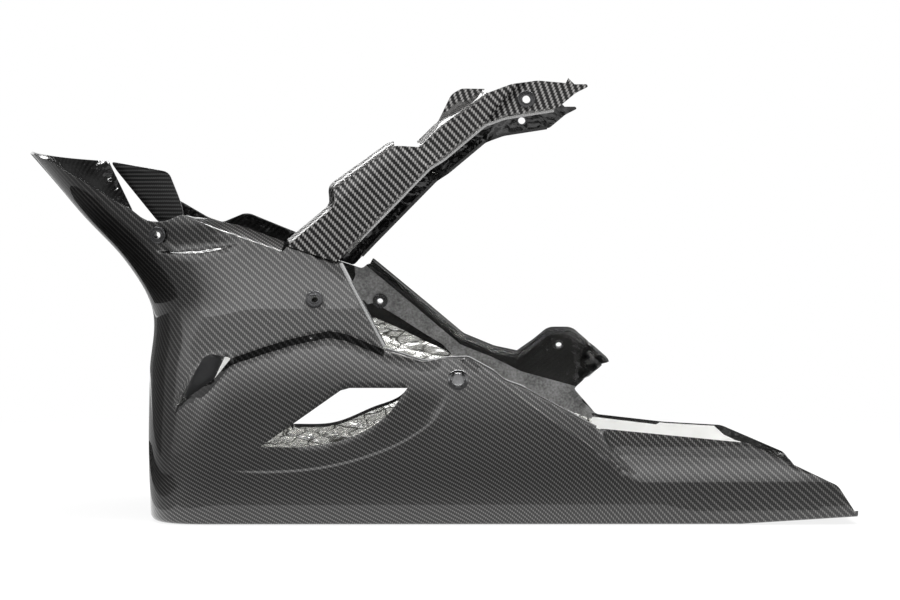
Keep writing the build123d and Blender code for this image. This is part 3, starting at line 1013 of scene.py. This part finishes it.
def add_wall(sheet, side, step):
    """One side wall with its vents and creases. Returns its lower edge as places and its top as a path."""
    top, top_path = wall_top(side, step)
    row_z = FLOOR_ROUND * np.array(FLOOR_ROWS)
    centre_z = np.concatenate([row_z, np.arange(FLOOR_ROUND + step, top[0, 1] - step / 2, step)])
    centre = np.stack([np.full(len(centre_z), -NOSE_SPAN), centre_z], axis=1)
    rows = [floor_row(z, step) for z in row_z]
    loop = np.vstack([rows[0][1:], [row[-1] for row in rows[1:]], top[::-1], centre[::-1]])
    small_vent = to_wall(sampled(rounded(SMALL_VENT, SMALL_VENT_ROUND, True), step * 0.6, True))
    holes = [to_wall(vent_loop(side, step * 0.6)), small_vent]
    holes += [to_wall(ring_of(hole, BUSH_HOLE_R, BUSH_HOLE_POINTS)) for hole in BUSH_HOLES[side]]
    lines = [row[1:-1] for row in rows[1:]] + wall_lines(top_path, step)
    places, faces = triangulated(loop, holes, lines, step)
    points = wall_points(places[:, 0], places[:, 1], side)
    slots = wall_slots(points[faces].mean(axis=1), side)
    sheet.add(points, wall_cloth(places, side), faces, WALL_PLY, slots)
    add_scoop(sheet, side, small_vent)
    return rows[0], top_path


def wall_slots(middle, side):
    """First material slot of each face of a wall, by the lining behind it, with painted shade on the ledge
    band and painted white glare opposite the right small vent.
    """
    x, z = middle[:, 0], middle[:, 2]
    below = along(LEDGE_CREST, x) - z
    on_ledge = (below > 0) & (below < LEDGE_BAND) & (x > LEDGE_CREST[0][0]) & (x < LEDGE_SHADE_END)
    slots = np.where((x > FELT_X) & (z < along(FELT_TOP, x)), FELT, BARE)
    slots = np.where((z < along(BARE_BELOW, x)) & (x < BARE_BELOW[-1][0]), BARE, slots)
    slots = np.where(z < along(FOIL_TOP, x), FOIL, slots)
    # Painted glare: the tail's lining is laid near-white
    slots = np.where(x > GLARE_TOP[0][0], np.where(z < along(GLARE_TOP, x), PAINTED_GLARE, BARE), slots)
    if side == RIGHT:
        edge = np.array(VENT_CURVE[RIGHT], float)[::-1]
        below = hermite(edge[:, 0], edge[:, 1], x) - z
        on_lip = (x > edge[0, 0]) & (x < edge[-1, 0]) & (below > 0) & (below < VENT_LIP)
        # Painted glare: opposite the right small vent the wall is laid near-white, for the bright view
        # through the slit
        opposite = (x < GLARE_NOSE_X) & (z > GLARE_NOSE_Z[0]) & (z < GLARE_NOSE_Z[1])
        slots = np.where(opposite, PAINTED_GLARE, np.where(on_lip, BARE, slots))
    # Painted shade: the ledge band gets near-black cloth for the dark it reflects
    return np.where(on_ledge, PAINTED_SHADE, slots)


def add_scoop(sheet, side, vent):
    """Ramp behind the small vent, from its front edge inwards."""
    x, _ = fold_back(vent[:, 0], vent[:, 1], 0.0)
    edge = stretch_of(np.stack([x, vent[:, 1]], axis=1), SCOOP_INNER[0], SCOOP_INNER[-1])
    outer = to_wall(edge)
    share = np.linspace(0.0, 1.0, len(edge))
    inner = np.array(SCOOP_INNER, float)
    reach = reach_along(inner)
    inner = np.stack([np.interp(share * reach[-1], reach, inner[:, k]) for k in (0, 1)], axis=1)
    grid = [wall_points(outer[:, 0], outer[:, 1], side)]
    for step in SCOOP_ROWS:
        places = to_wall(edge + (inner - edge) * step)
        points = wall_points(places[:, 0], places[:, 1], side, features=False)
        points[:, 1] -= side * SCOOP_DEPTH * step**0.7
        grid.append(points)
    points = np.vstack(grid)
    faces = grid_faces(len(grid), len(edge))
    sheet.add(points, points[:, [0, 2]] * (-side, 1.0), faces, WALL_PLY, RESIN)


def turned_cloth(points, side, pull):
    """Cloth coordinates of a turned edge: the cloth runs on round the fold."""
    return np.stack([points[:, 0] * -side, points[:, 2] - np.abs(points[:, 1]) * pull], axis=1)


def add_flange(sheet, side, path, rows):
    """Turned edge along a stretch of a wall's top edge."""
    places = to_wall(path)
    base = wall_points(places[:, 0], places[:, 1], side)
    points, faces = turned_edge(base, path, side, rows)
    sheet.add(points, turned_cloth(points, side, TURNED_PULL), faces, WALL_PLY)


class BELLYPAN_OT_tub(bpy.types.Operator):
    """Lays up the tub: both walls, the floor and the turned edges"""

    bl_idname = "bellypan.tub"
    bl_label = "Tub"

    def execute(self, context):
        sizes, finish = context.scene.belly_pan_sizes, context.scene.belly_pan_finish
        step = sizes.mesh_step
        sheet = Sheet()
        rims, paths = {}, {}
        for side in (LEFT, RIGHT):
            rims[side], paths[side] = add_wall(sheet, side, step)
        depth = sizes.flange
        for start, end, leans in LEFT_FLANGES:
            path = stretch_of(paths[LEFT], start, end)
            lean = along(leans, path[:, 0])
            rows = [(lean * s + FLANGE_FOLD * (1 - s), depth * s) for s in FLANGE_SHARES]
            add_flange(sheet, LEFT, path, [FLANGE_START, *rows])
        add_flange(sheet, LEFT, stretch_of(paths[LEFT], *LEFT_LIP), LEFT_LIP_ROWS)
        rows = [(0.35, 0.5), (1.0, depth * 0.1), (RIGHT_FLANGE_LEAN, depth)]
        add_flange(sheet, RIGHT, stretch_of(paths[RIGHT], *RIGHT_FLANGE), rows)
        self.add_floor(sheet, rims, step)
        mesh = sheet.mesh("tub", TUB_TURNS, lambda p: Vector((p.x - 0.05, p.y * 2, p.z - 0.25)))
        tub = thickened(mesh, "carbon_tub", sizes.wall, self.linings(finish))
        fit(tub, "belly_shell")
        return {"FINISHED"}

    def linings(self, finish):
        """Materials of the tub: outside, inside and rim of each lining, in the order of its slots."""
        weave = (finish.tow_width, TWILL)
        outside, inside_face, rim = laminate(finish, "shell", weave, finish.light_tow, finish.dark_tow)
        foil = foil_inside("foil lining", finish)
        felt = felt_inside("felt lining")
        # Painted shade: the ledge band's cloth is near-black
        black = carbon_outside("ledge painted shade", weave, LEDGE_SHADE_LIGHT_TOW, SHADE_BLACK_TOW)
        scoop = speckled("scoop resin", (0.012, 0.012, 0.013), (0.035, 0.035, 0.036), 0.06, 0.0, 120.0)
        # Painted glare: the tail's lining and the patch seen through the small vent's slit are near-white
        pale = glare_lining("painted glare lining", finish)
        pairs = (
            (outside, inside_face), (outside, foil), (outside, felt),
            (black, foil), (scoop, foil), (outside, pale),
        )
        return [face for pair in pairs for face in (*pair, rim)]

    def add_floor(self, sheet, rims, step):
        left = wall_points(rims[LEFT][:, 0], rims[LEFT][:, 1], LEFT)
        right = wall_points(rims[RIGHT][:, 0], rims[RIGHT][:, 1], RIGHT)
        tail = sampled([left[-1, :2], right[-1, :2]], 3 * step)[1:-1]
        loop = np.vstack([left[:, :2], tail, right[::-1, :2][:-1]])
        bend_y = left[np.argmin(np.abs(left[:, 0] - SWEEP_X)), 1] + 4 * step
        bend = sampled([(SWEEP_X, bend_y), (SWEEP_X, -bend_y)], 3 * step)
        flat, faces = triangulated(loop, [], [bend], 3 * step)
        points = np.stack([flat[:, 0], flat[:, 1], floor_height(flat[:, 0])], axis=1)
        sheet.add(points, flat, faces, FLOOR_PLY, FOIL)


class BELLYPAN_OT_arms(bpy.types.Operator):
    """Makes both mounting arms: folded face, turned flanges and top tab"""

    bl_idname = "bellypan.arms"
    bl_label = "Arms"

    def execute(self, context):
        sizes, finish = context.scene.belly_pan_sizes, context.scene.belly_pan_finish
        light = [c * ARM_LIGHT for c in finish.light_tow]
        dark = [c * ARM_DARK for c in finish.dark_tow]
        layers = laminate(finish, "arm", (finish.arm_tow, TWILL), light, dark, ARM_COAT)
        for side, node in ((LEFT, "left_arm"), (RIGHT, "right_arm")):
            sheet = Sheet()
            self.add_faces(sheet, side)
            mesh = sheet.mesh(node, ARM_TURNS, lambda p: Vector((0.0, side, 0.0)))
            arm = thickened(mesh, "carbon_" + node, sizes.wall, layers)
            fit(arm, node)
        return {"FINISHED"}

    def lift(self, flat, side):
        back = arm_set_back(flat[:, 0], flat[:, 1])
        return np.stack([flat[:, 0], side * (ARM_FACE_Y - back), flat[:, 1]], axis=1)

    def add_faces(self, sheet, side):
        loop = sampled(rounded(ARM_OUTLINE, ARM_ROUND, True, ARM_SHARP), ARM_STEP, True)
        lines = [sampled(line, ARM_STEP)[1:-1] for line in (ARM_SHOULDER, *ARM_TWIST, ARM_PLATE)]
        lines.append(inset_path(loop, FOLD_LINE))
        eye = ring_of(ARM_EYE, ARM_EYE_R, ARM_EYE_POINTS)
        flat, faces = triangulated(loop, [eye], lines, ARM_STEP)
        middle = flat[faces].mean(axis=1)
        ply = np.where((middle[:, 0] > ARM_PLATE_X) & (on_plate(middle) > 0), PLATE_PLY, ARM_PLY)
        sheet.add(self.lift(flat, side), flat * (-side, 1.0), faces, ply)
        for start, end, lean, depth in ARM_FLANGES:
            path = stretch_of(loop, start, end)
            rows = [(0.3, 0.45), (lean * 0.05 + 0.4, depth * 0.06), (lean, depth)]
            points, quads = turned_edge(self.lift(path, side), path, side, rows)
            sheet.add(points, turned_cloth(points, side, 1.0), quads, ARM_PLY)
            if depth == ARM_TOP_DEPTH:
                self.add_tab(sheet, side, points[-len(path):])

    def add_tab(self, sheet, side, edge):
        base = edge[:, [0, 2]]
        corner = sampled(rounded([base[-1], *ARM_TAB[::-1], base[0]], ARM_TAB_ROUND), ARM_STEP)
        flat, faces = triangulated(np.vstack([base, corner[1:-1]]), [], [], ARM_STEP)
        depth = np.interp(flat[:, 0], base[:, 0], np.abs(edge[:, 1]))
        points = np.stack([flat[:, 0], side * depth, flat[:, 1]], axis=1)
        sheet.add(points, flat * (-side, 1.0), faces, PLATE_PLY)


def on_plate(points):
    """Distance past the bend of an arm's end plate."""
    return np.minimum(-side_of(ARM_PLATE[0:2], points), -side_of(ARM_PLATE[1:3], points))


def arm_set_back(x, z):
    """How far an arm's face lies behind its front plane: shoulder strip, twist and end plate."""
    points = np.stack([x, z], axis=1)
    strip = ARM_SHOULDER_SET * ease(side_of(ARM_SHOULDER[1:3], points) / ARM_SHOULDER_RUN)
    first, second = (-side_of(line, points) for line in ARM_TWIST)
    share = np.where(second > 0, 1.0, np.where(first < 0, 0.0, first / np.maximum(first - second, 1e-6)))
    twist = ARM_TWIST_SET * np.clip(share, 0, 1)
    plate = ARM_PLATE_SET * ease(on_plate(points) / ARM_PLATE_RUN)
    return strip * (x < ARM_SHOULDER_X) + twist + plate * (x > ARM_PLATE_X)


class BELLYPAN_OT_fin(bpy.types.Operator):
    """Makes the front fin behind the notch of the left wall"""

    bl_idname = "bellypan.fin"
    bl_label = "Front fin"

    def execute(self, context):
        sizes, finish = context.scene.belly_pan_sizes, context.scene.belly_pan_finish
        loop = to_wall(sampled(rounded(FIN_OUTLINE, FIN_ROUND, True), FIN_EDGE_STEP, True))
        places, faces = triangulated(loop, [], [], FIN_STEP)
        points = wall_points(places[:, 0], places[:, 1], LEFT, sizes.wall + BOND_GAP, features=False)
        sheet = Sheet()
        sheet.add(points, np.stack([points[:, 0], places[:, 1]], axis=1), faces)
        mesh = sheet.mesh("fin", FIN_TURNS, lambda p: Vector((-0.5, -1.0, 0.0)))
        weave = (finish.arm_tow * FIN_TOW, TWILL)
        # Painted shade: the fin's tows are laid dim and near-black
        layers = laminate(finish, "fin", weave, FIN_SHADED_LIGHT_TOW, SHADE_BLACK_TOW, FIN_COAT)
        fit(thickened(mesh, "carbon_front_fin", sizes.wall, layers), "left_front_fin")
        return {"FINISHED"}


def lathe(name, seat, axis, rings, materials, segments=64, sides=0):
    """Turned piece: rings of (radius, height, hexagon share) about an axis that starts at a seat."""
    turn = Vector(axis).to_track_quat("Z", "Y").to_matrix()
    bm = bmesh.new()
    rows = []
    for radius, height, flat in rings:
        row = []
        for k in range(segments):
            angle = 2 * math.pi * k / segments
            reach = radius
            if sides and flat:
                sector = math.pi / sides
                local = (angle % (2 * sector)) - sector
                reach = radius * (1 - flat + flat * math.cos(sector) / math.cos(local))
            local_point = Vector((reach * math.cos(angle), reach * math.sin(angle), height)) * MM
            row.append(bm.verts.new(seat + turn @ local_point))
        rows.append(row)
    for low, high in zip(rows, rows[1:]):
        for k in range(segments):
            face = bm.faces.new((low[k], low[(k + 1) % segments], high[(k + 1) % segments], high[k]))
            face.smooth = True
    if rings[0][:2] == rings[-1][:2]:
        bmesh.ops.remove_doubles(bm, verts=bm.verts, dist=1e-7)
    else:
        bm.faces.new(list(reversed(rows[0])))
        bm.faces.new(rows[-1])
    bmesh.ops.recalc_face_normals(bm, faces=bm.faces)
    mesh = bpy.data.meshes.new(name)
    bm.to_mesh(mesh)
    bm.free()
    for material in materials:
        mesh.materials.append(material)
    mesh.set_sharp_from_angle(angle=math.radians(TURNED_ANGLE))
    return put(name, mesh)


class BELLYPAN_OT_bushes(bpy.types.Operator):
    """Turns the six flanged bushes on their seats"""

    bl_idname = "bellypan.bushes"
    bl_label = "Bushes"

    def execute(self, context):
        black = speckled("bush black", (0.04, 0.04, 0.042), (0.11, 0.11, 0.112), 0.16, 0.8, 900.0)
        for mount in frame["record"]["mounts"]:
            if mount["kind"] != "bore":
                continue
            node = mount["name"].replace("fixing", "bush")
            axis = Vector(mount["axis"]).normalized()
            length = mount["dims"]["length_mm"]
            seat = Vector(mount["pos_m"]) + axis * (length / 2 - BUSH_FLANGE_T) * MM
            bore = mount["dims"]["r_mm"]
            barrel = bore + BUSH_WALL
            foot = BUSH_FLANGE_T - length
            collar = barrel + (0.0 if "arm" in node else BUSH_COLLAR)
            rim = BUSH_FLANGE_R
            profile = [
                (bore, foot), (barrel - 0.3, foot), (barrel, foot + 0.3), (barrel, foot + 1.2),
                (collar - 0.5, foot + 1.4), (collar, foot + 1.9), (collar, foot + 2.5), (barrel, foot + 2.8),
                (barrel, 0.0), (rim - 0.2, 0.0), (rim, 0.25), (rim, 0.8), (rim - 0.25, 1.2), (rim - 0.7, 1.4),
                (rim - 1.2, 1.3), (rim - 1.5, 0.85), (bore + 1.7, 0.8), (bore + 1.3, 1.15), (bore + 0.7, 1.3),
                (bore + 0.2, 1.15), (bore, 0.8), (bore, foot),
            ]
            rings = [(radius, height, 0) for radius, height in profile]
            fit(lathe(node + "_turned", seat, axis, rings, [black]), node)
        return {"FINISHED"}


class BELLYPAN_OT_bolt(bpy.types.Operator):
    """Turns the flange bolt and finishes the clip nut behind it"""

    bl_idname = "bellypan.bolt"
    bl_label = "Flange bolt"

    def execute(self, context):
        x, z = BOLT_AT
        around = np.array([(x, z), (x + 2, z), (x, z + 2)], float)
        places = to_wall(around)
        here, right, up = wall_points(places[:, 0], places[:, 1], LEFT, features=False)
        axis = Vector(np.cross(right - here, up - here)).normalized()
        seat = Vector(here * MM) + axis * BOLT_GAP * MM
        black = speckled("bolt black", (0.10, 0.10, 0.102), (0.2, 0.2, 0.202), 0.04, 1.0, 700.0)
        bolt = lathe("left_side_bolt_turned", seat, axis, BOLT_RINGS, [black], 72, BOLT_SIDES)
        fit(bolt, "left_side_bolt")
        zinc = speckled("nut zinc", (0.36, 0.36, 0.37), (0.55, 0.55, 0.56), 0.3, 1.0, 1200.0)
        nut = frame["nodes"]["left_side_nut"]
        nut.data.materials.clear()
        nut.data.materials.append(zinc)
        return {"FINISHED"}


def card(name, corners, low, high):
    """Flat studio card that only shows in reflections: brightness at its lower and at its upper edge."""
    material = bpy.data.materials.new(name)
    material.use_nodes = True
    material.node_tree.nodes.clear()
    w = Wiring(material.node_tree)
    glow = w.node("ShaderNodeEmission", {"Color": grey(1.0), "Strength": low})
    if high != low:
        place = w.node("ShaderNodeNewGeometry")
        height = w.node("ShaderNodeSeparateXYZ", {0: place.outputs["Position"]}).outputs["Z"]
        grade = {"Value": height, "From Min": corners[0][2], "From Max": corners[2][2]}
        glow_at = w.node("ShaderNodeMapRange", {**grade, "To Min": low, "To Max": high})
        w.feed(glow.inputs["Strength"], glow_at.outputs["Result"])
    w.node("ShaderNodeOutputMaterial", {"Surface": glow.outputs[0]})
    mesh = bpy.data.meshes.new(name)
    mesh.from_pydata(corners, [], [(0, 1, 2, 3)])
    mesh.materials.append(material)
    made = put(name, mesh)
    made.visible_camera = False
    made.visible_shadow = False
    made.visible_diffuse = False


def softbox(name, at, target, width, height, radiance):
    """Area lamp aimed at a target, by the brightness of its face."""
    lamp = bpy.data.lights.new(name, "AREA")
    lamp.shape = "RECTANGLE"
    lamp.size, lamp.size_y = width, height
    lamp.energy = radiance * math.pi * width * height
    made = put(name, lamp)
    made.location = at
    made.rotation_euler = (Vector(target) - Vector(at)).to_track_quat("-Z", "Y").to_euler()


class BELLYPAN_OT_stage(bpy.types.Operator):
    """Sets up the white floor, the studio lamps and cards, and the camera"""

    bl_idname = "bellypan.stage"
    bl_label = "Studio"

    def execute(self, context):
        scene = context.scene
        look = scene.belly_pan_stage
        scene.view_settings.view_transform = "Standard"
        self.make_floor(look)
        self.make_world(scene)
        for name, x0, x1, y0, y1, z, glow in LYING_CARDS:
            card(name, [(x0, y0, z), (x1, y0, z), (x1, y1, z), (x0, y1, z)], glow, glow)
        for name, start, end, top, low, high in STANDING_CARDS:
            card(name, [(*start, 0.0), (*end, 0.0), (*end, top), (*start, top)], low, high)
        for lamp in LAMPS:
            softbox(*lamp)
        camera = bpy.data.cameras.new("studio_camera")
        camera.lens = look.lens
        camera.sensor_width = SENSOR
        camera.shift_x, camera.shift_y = CAMERA_SHIFT
        scene.camera = put("studio_camera", camera)
        scene.camera.location = CAMERA_AT
        scene.camera.rotation_euler = (math.pi / 2, 0.0, 0.0)
        return {"FINISHED"}

    def make_floor(self, look):
        reach = FLOOR_REACH
        corners = [(-reach, -reach, 0), (reach, -reach, 0), (reach, reach, 0), (-reach, reach, 0)]
        mesh = bpy.data.meshes.new("floor")
        mesh.from_pydata(corners, [], [(0, 1, 2, 3)])
        material, w = new_material("floor")
        w.surface((*look.floor_colour, 1.0), 1.0, plain={"Specular IOR Level": 0.0})
        rays = w.node("ShaderNodeLightPath")
        seen = w.math("MAXIMUM", rays.outputs["Is Camera Ray"], rays.outputs["Is Glossy Ray"])
        white = w.node("ShaderNodeEmission", {"Color": grey(1.0), "Strength": 1.0})
        place = w.node("ShaderNodeNewGeometry")
        far = w.node("ShaderNodeVectorMath", {0: place.outputs["Position"]}, operation="LENGTH")
        white_share = w.math("MULTIPLY_ADD", w.ramp(far.outputs["Value"], 0.5, 1.6), 0.15, 0.85)
        nodes = material.node_tree.nodes
        share = w.math("MULTIPLY", seen, white_share)
        faces = {0: share, 1: nodes["Principled BSDF"].outputs[0], 2: white.outputs[0]}
        w.feed(nodes["Material Output"].inputs["Surface"], w.node("ShaderNodeMixShader", faces).outputs[0])
        mesh.materials.append(material)
        floor = put("floor", mesh)
        floor.location = (0.0, 0.0, -FLOOR_DROP)

    def make_world(self, scene):
        world = bpy.data.worlds.new("studio")
        scene.world = world
        world.use_nodes = True
        world.node_tree.nodes.clear()
        w = Wiring(world.node_tree)
        rays = w.node("ShaderNodeLightPath")
        seen = w.math("MAXIMUM", rays.outputs["Is Camera Ray"], rays.outputs["Is Glossy Ray"])
        seen = w.math("MAXIMUM", seen, rays.outputs["Is Transmission Ray"])
        fill = w.node("ShaderNodeBackground", {"Color": grey(0.8), "Strength": 1.0})
        white = w.node("ShaderNodeBackground", {"Color": grey(1.0), "Strength": 1.0})
        mix = w.node("ShaderNodeMixShader", {0: seen, 1: fill.outputs[0], 2: white.outputs[0]})
        w.node("ShaderNodeOutputWorld", {"Surface": mix.outputs[0]})


class BELLYPAN_PT_panel(bpy.types.Panel):
    """Sidebar list of the pieces and the user's values"""

    bl_idname = "BELLYPAN_PT_panel"
    bl_label = "Belly Pan"
    bl_space_type = "VIEW_3D"
    bl_region_type = "UI"
    bl_category = "Belly Pan"

    def draw(self, context):
        for operator in OPERATORS:
            self.layout.operator(operator.bl_idname, text=operator.bl_label)
        for name in GROUPS:
            box = self.layout.box()
            group = getattr(context.scene, name)
            for key in group.__annotations__:
                box.prop(group, key)


GROUPS = {
    "belly_pan_sizes": BellyPanSizes,
    "belly_pan_finish": BellyPanFinish,
    "belly_pan_stage": BellyPanStage,
}
OPERATORS = (
    BELLYPAN_OT_tub, BELLYPAN_OT_arms, BELLYPAN_OT_fin,
    BELLYPAN_OT_bushes, BELLYPAN_OT_bolt, BELLYPAN_OT_stage,
)


def register():
    for made in (*GROUPS.values(), *OPERATORS, BELLYPAN_PT_panel):
        bpy.utils.register_class(made)
    for name, group in GROUPS.items():
        setattr(bpy.types.Scene, name, bpy.props.PointerProperty(type=group))


def unregister():
    for name in GROUPS:
        delattr(bpy.types.Scene, name)
    for made in (BELLYPAN_PT_panel, *reversed(OPERATORS), *reversed(GROUPS.values())):
        bpy.utils.unregister_class(made)


def main():
    register()
    bpy.ops.bellypan.tub()
    bpy.ops.bellypan.arms()
    bpy.ops.bellypan.fin()
    bpy.ops.bellypan.bushes()
    bpy.ops.bellypan.bolt()
    bpy.ops.bellypan.stage()


if __name__ == "__main__":
    main()
